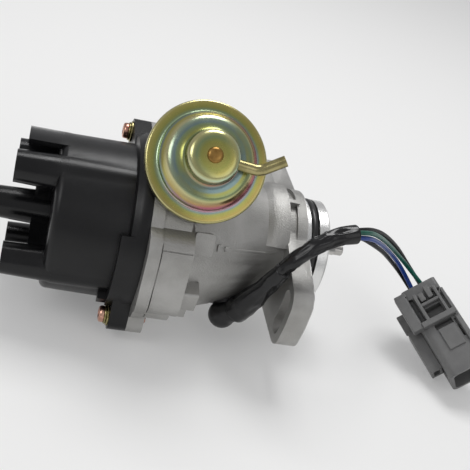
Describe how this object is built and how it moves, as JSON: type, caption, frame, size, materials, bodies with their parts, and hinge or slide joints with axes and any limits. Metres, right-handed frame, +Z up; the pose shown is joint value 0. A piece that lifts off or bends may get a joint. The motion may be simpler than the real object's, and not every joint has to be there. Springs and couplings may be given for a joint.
{
  "type": "ignition distributor",
  "caption": "Vehicle ignition distributor on its side: towered black cap, cast housing with slotted ears, plated vacuum canister, drive coupling and wired lead with a grey connector.",
  "frame": {"origin": "on the shaft's axis, at the engine-side face of the mounting flange where the spigot starts", "axes": "+X along the shaft out of the drive end, the cap lies at -X; +Z up as the part lies on its side; +Y away from the vacuum canister's front"},
  "size_m": [0.2572, 0.115, 0.1167],
  "materials": {
    "cast_aluminium": "sand-cast, sandblasted",
    "machined_steel": "machined",
    "sintered_bronze": "sintered, oiled",
    "steel_coupling": "machined, oiled",
    "black_rubber": "satin moulded rubber",
    "cap_plastic": "satin moulded thermoset",
    "zinc_yellow": "yellow chromate zinc plate, iridescent",
    "zinc_screws": "copper-toned zinc plate",
    "copper_rivet": "brown plated",
    "terminal_metal": "bare contact metal",
    "spring_steel": "bright spring wire",
    "carbon": "carbon",
    "coil_plastic": "potted",
    "sleeve_vinyl": "wrinkled glossy vinyl",
    "wire_black": "vinyl insulation",
    "wire_green": "vinyl insulation",
    "wire_blue": "vinyl insulation",
    "connector_grey": "moulded nylon"
  },
  "bodies": {
    "housing": {"housing": "cast_aluminium", "spigot_o_ring": "black_rubber", "shaft_bushes": "sintered_bronze", "shaft_oil_seal": "black_rubber", "thrust_washer": "machined_steel", "base_plate": "machined_steel", "plate_screws": "zinc_screws", "dust_cover": "cap_plastic", "distributor_cap": "cap_plastic", "cap_seal": "black_rubber", "cap_terminals": "terminal_metal", "centre_terminal": "terminal_metal", "brush_spring": "spring_steel", "cap_screws": "zinc_screws", "canister_cover": "zinc_yellow", "canister_rear_shell": "zinc_yellow", "diaphragm": "black_rubber", "diaphragm_spring": "spring_steel", "canister_rivet": "copper_rivet", "vacuum_pipe": "zinc_yellow", "canister_bracket": "zinc_yellow", "canister_screws": "zinc_screws", "lead_grommet": "black_rubber", "lead_sleeve": "sleeve_vinyl", "wire_black": "wire_black", "wire_green": "wire_green", "wire_blue": "wire_blue", "wire_ground": "wire_black", "connector_shell": "connector_grey", "connector_seal": "black_rubber", "connector_pins": "terminal_metal", "connector_clip": "connector_grey"},
    "shaft": {"drive_shaft": "machined_steel", "drive_coupling": "steel_coupling", "coupling_pin": "machined_steel", "advance_base": "machined_steel"},
    "cam": {"cam_sleeve": "machined_steel", "reluctor": "machined_steel", "rotor_arm": "cap_plastic", "rotor_contact": "terminal_metal"},
    "weight_a": {"advance_weight_a": "machined_steel"},
    "weight_b": {"advance_weight_b": "machined_steel"},
    "pickup": {"breaker_plate": "machined_steel", "link_pin": "machined_steel", "stator_ring": "machined_steel", "pickup_coil": "coil_plastic", "ignition_unit": "coil_plastic"},
    "vacuum_link": {"diaphragm_link": "machined_steel"},
    "brush": {"carbon_brush": "carbon"}
  },
  "joints": [
    {"name": "shaft_spin", "type": "hinge", "parent": "housing", "child": "shaft", "pos_m": [0, 0, 0], "axis": [1, 0, 0], "continuous": true},
    {"name": "centrifugal_advance", "type": "hinge", "parent": "shaft", "child": "cam", "pos_m": [0, 0, 0], "axis": [1, 0, 0], "range_deg": [0, 12], "stiffness_Nm_per_rad": 0.2},
    {"name": "weight_a_swing", "type": "hinge", "parent": "shaft", "child": "weight_a", "pos_m": [-0.0484, 0.00875, 0.01516], "axis": [1, 0, 0], "range_deg": [-10, 0]},
    {"name": "weight_b_swing", "type": "hinge", "parent": "shaft", "child": "weight_b", "pos_m": [-0.0484, -0.00875, -0.01516], "axis": [1, 0, 0], "range_deg": [-10, 0]},
    {"name": "vacuum_advance", "type": "hinge", "parent": "housing", "child": "pickup", "pos_m": [0, 0, 0], "axis": [1, 0, 0], "range_deg": [0, 10], "stiffness_Nm_per_rad": 0.4},
    {"name": "link_pull", "type": "slide", "parent": "housing", "child": "vacuum_link", "axis": [0, -0.7944, 0.6074], "range_m": [0, 0.0046]},
    {"name": "brush_slide", "type": "slide", "parent": "housing", "child": "brush", "axis": [-1, 0, 0], "range_m": [0, 0.0015], "stiffness_N_per_m": 150, "springref_m": -0.003}
  ],
  "couplings": [
    {"joint": "weight_a_swing", "follows": "centrifugal_advance", "ratio": -0.8333},
    {"joint": "weight_b_swing", "follows": "centrifugal_advance", "ratio": -0.8333},
    {"joint": "link_pull", "follows": "vacuum_advance", "m_per_rad": 0.026}
  ]
}
